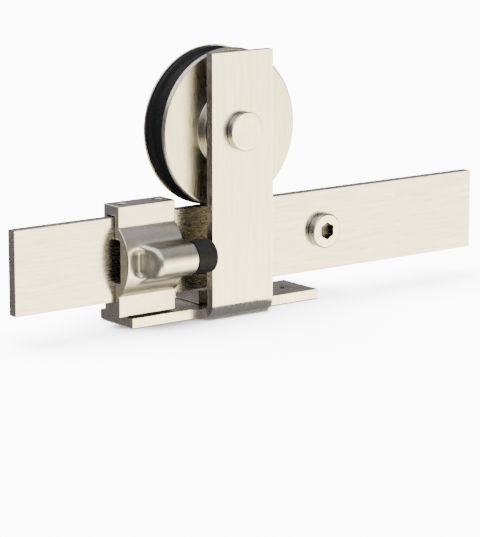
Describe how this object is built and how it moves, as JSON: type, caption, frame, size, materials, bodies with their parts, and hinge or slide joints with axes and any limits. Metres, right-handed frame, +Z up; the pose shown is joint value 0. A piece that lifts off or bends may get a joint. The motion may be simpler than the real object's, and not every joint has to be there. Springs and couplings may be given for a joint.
{
  "type": "sliding barn door hardware",
  "caption": "Flat-track sliding door hardware: wall-mounted track on spacers, top-mount wheel hanger with anti-jump block, and a clamp-on end stop with a rubber bumper.",
  "frame": {"origin": "the point on the hanger foot's underside, where it sits on the door's top edge, straight below the wheel's axle and in the track's middle plane", "axes": "+X along the track, away from the end stop; +Y towards the wall; +Z up"},
  "size_m": [0.3095, 0.0601, 0.1432],
  "materials": {
    "brushed_track": "brushed along its length",
    "brushed_bracket": "brushed along the strap",
    "turned_wheel": "fine turned satin",
    "turned_steel": "turned satin",
    "cast_stop": "cast, brushed faces and a polished hollow",
    "plated_fastener": "plain stainless",
    "bearing_steel": "ground and polished",
    "black_nylon": "satin",
    "black_rubber": "matt"
  },
  "bodies": {
    "track": {"track_bar": "brushed_track", "standoff_left": "turned_steel", "standoff_right": "turned_steel", "track_bolt_left": "turned_steel", "track_bolt_right": "turned_steel"},
    "hanger": {"hanger_bracket": "brushed_bracket", "anti_jump_block": "brushed_bracket", "axle_bolt": "turned_steel", "axle_spacer_front": "turned_steel", "axle_spacer_rear": "turned_steel", "axle_washer": "plated_fastener", "axle_nut": "plated_fastener", "bearing_inner_ring": "bearing_steel", "door_screw_left": "plated_fastener", "door_screw_right": "plated_fastener", "block_screw_left": "plated_fastener", "block_screw_right": "plated_fastener"},
    "wheel": {"wheel_body": "turned_wheel", "wheel_tread": "black_nylon", "bearing_outer_ring": "bearing_steel", "retaining_ring": "plated_fastener"},
    "cage": {"bearing_cage": "black_nylon", "bearing_ball_1": "bearing_steel", "bearing_ball_2": "bearing_steel", "bearing_ball_3": "bearing_steel", "bearing_ball_4": "bearing_steel", "bearing_ball_5": "bearing_steel", "bearing_ball_6": "bearing_steel", "bearing_ball_7": "bearing_steel"},
    "stop": {"stop_body": "cast_stop", "stop_bumper": "black_rubber", "bumper_stud": "plated_fastener"},
    "screw_left": {"set_screw_left": "plated_fastener"},
    "screw_right": {"set_screw_right": "plated_fastener"}
  },
  "joints": [
    {"name": "hanger_slide", "type": "slide", "parent": "track", "child": "hanger", "axis": [1, 0, 0], "range_m": [0, 0.12]},
    {"name": "wheel_spin", "type": "hinge", "parent": "hanger", "child": "wheel", "pos_m": [0, 0, 0.1], "axis": [0, 1, 0], "range_deg": [0, 170]},
    {"name": "cage_spin", "type": "hinge", "parent": "hanger", "child": "cage", "pos_m": [0, 0, 0.1], "axis": [0, 1, 0], "range_deg": [0, 108]},
    {"name": "stop_slide", "type": "slide", "parent": "track", "child": "stop", "axis": [1, 0, 0], "range_m": [-0.055, 0]},
    {"name": "set_screw_left_turn", "type": "hinge", "parent": "stop", "child": "screw_left", "pos_m": [-0.065, 0, 0.0617], "axis": [0, 0, 1], "range_deg": [0, 720]},
    {"name": "set_screw_right_turn", "type": "hinge", "parent": "stop", "child": "screw_right", "pos_m": [-0.0416, 0, 0.0617], "axis": [0, 0, 1], "range_deg": [0, 720]}
  ],
  "couplings": [
    {"joint": "wheel_spin", "follows": "hanger_slide", "rad_per_m": 24.45},
    {"joint": "cage_spin", "follows": "hanger_slide", "rad_per_m": 15.45}
  ]
}
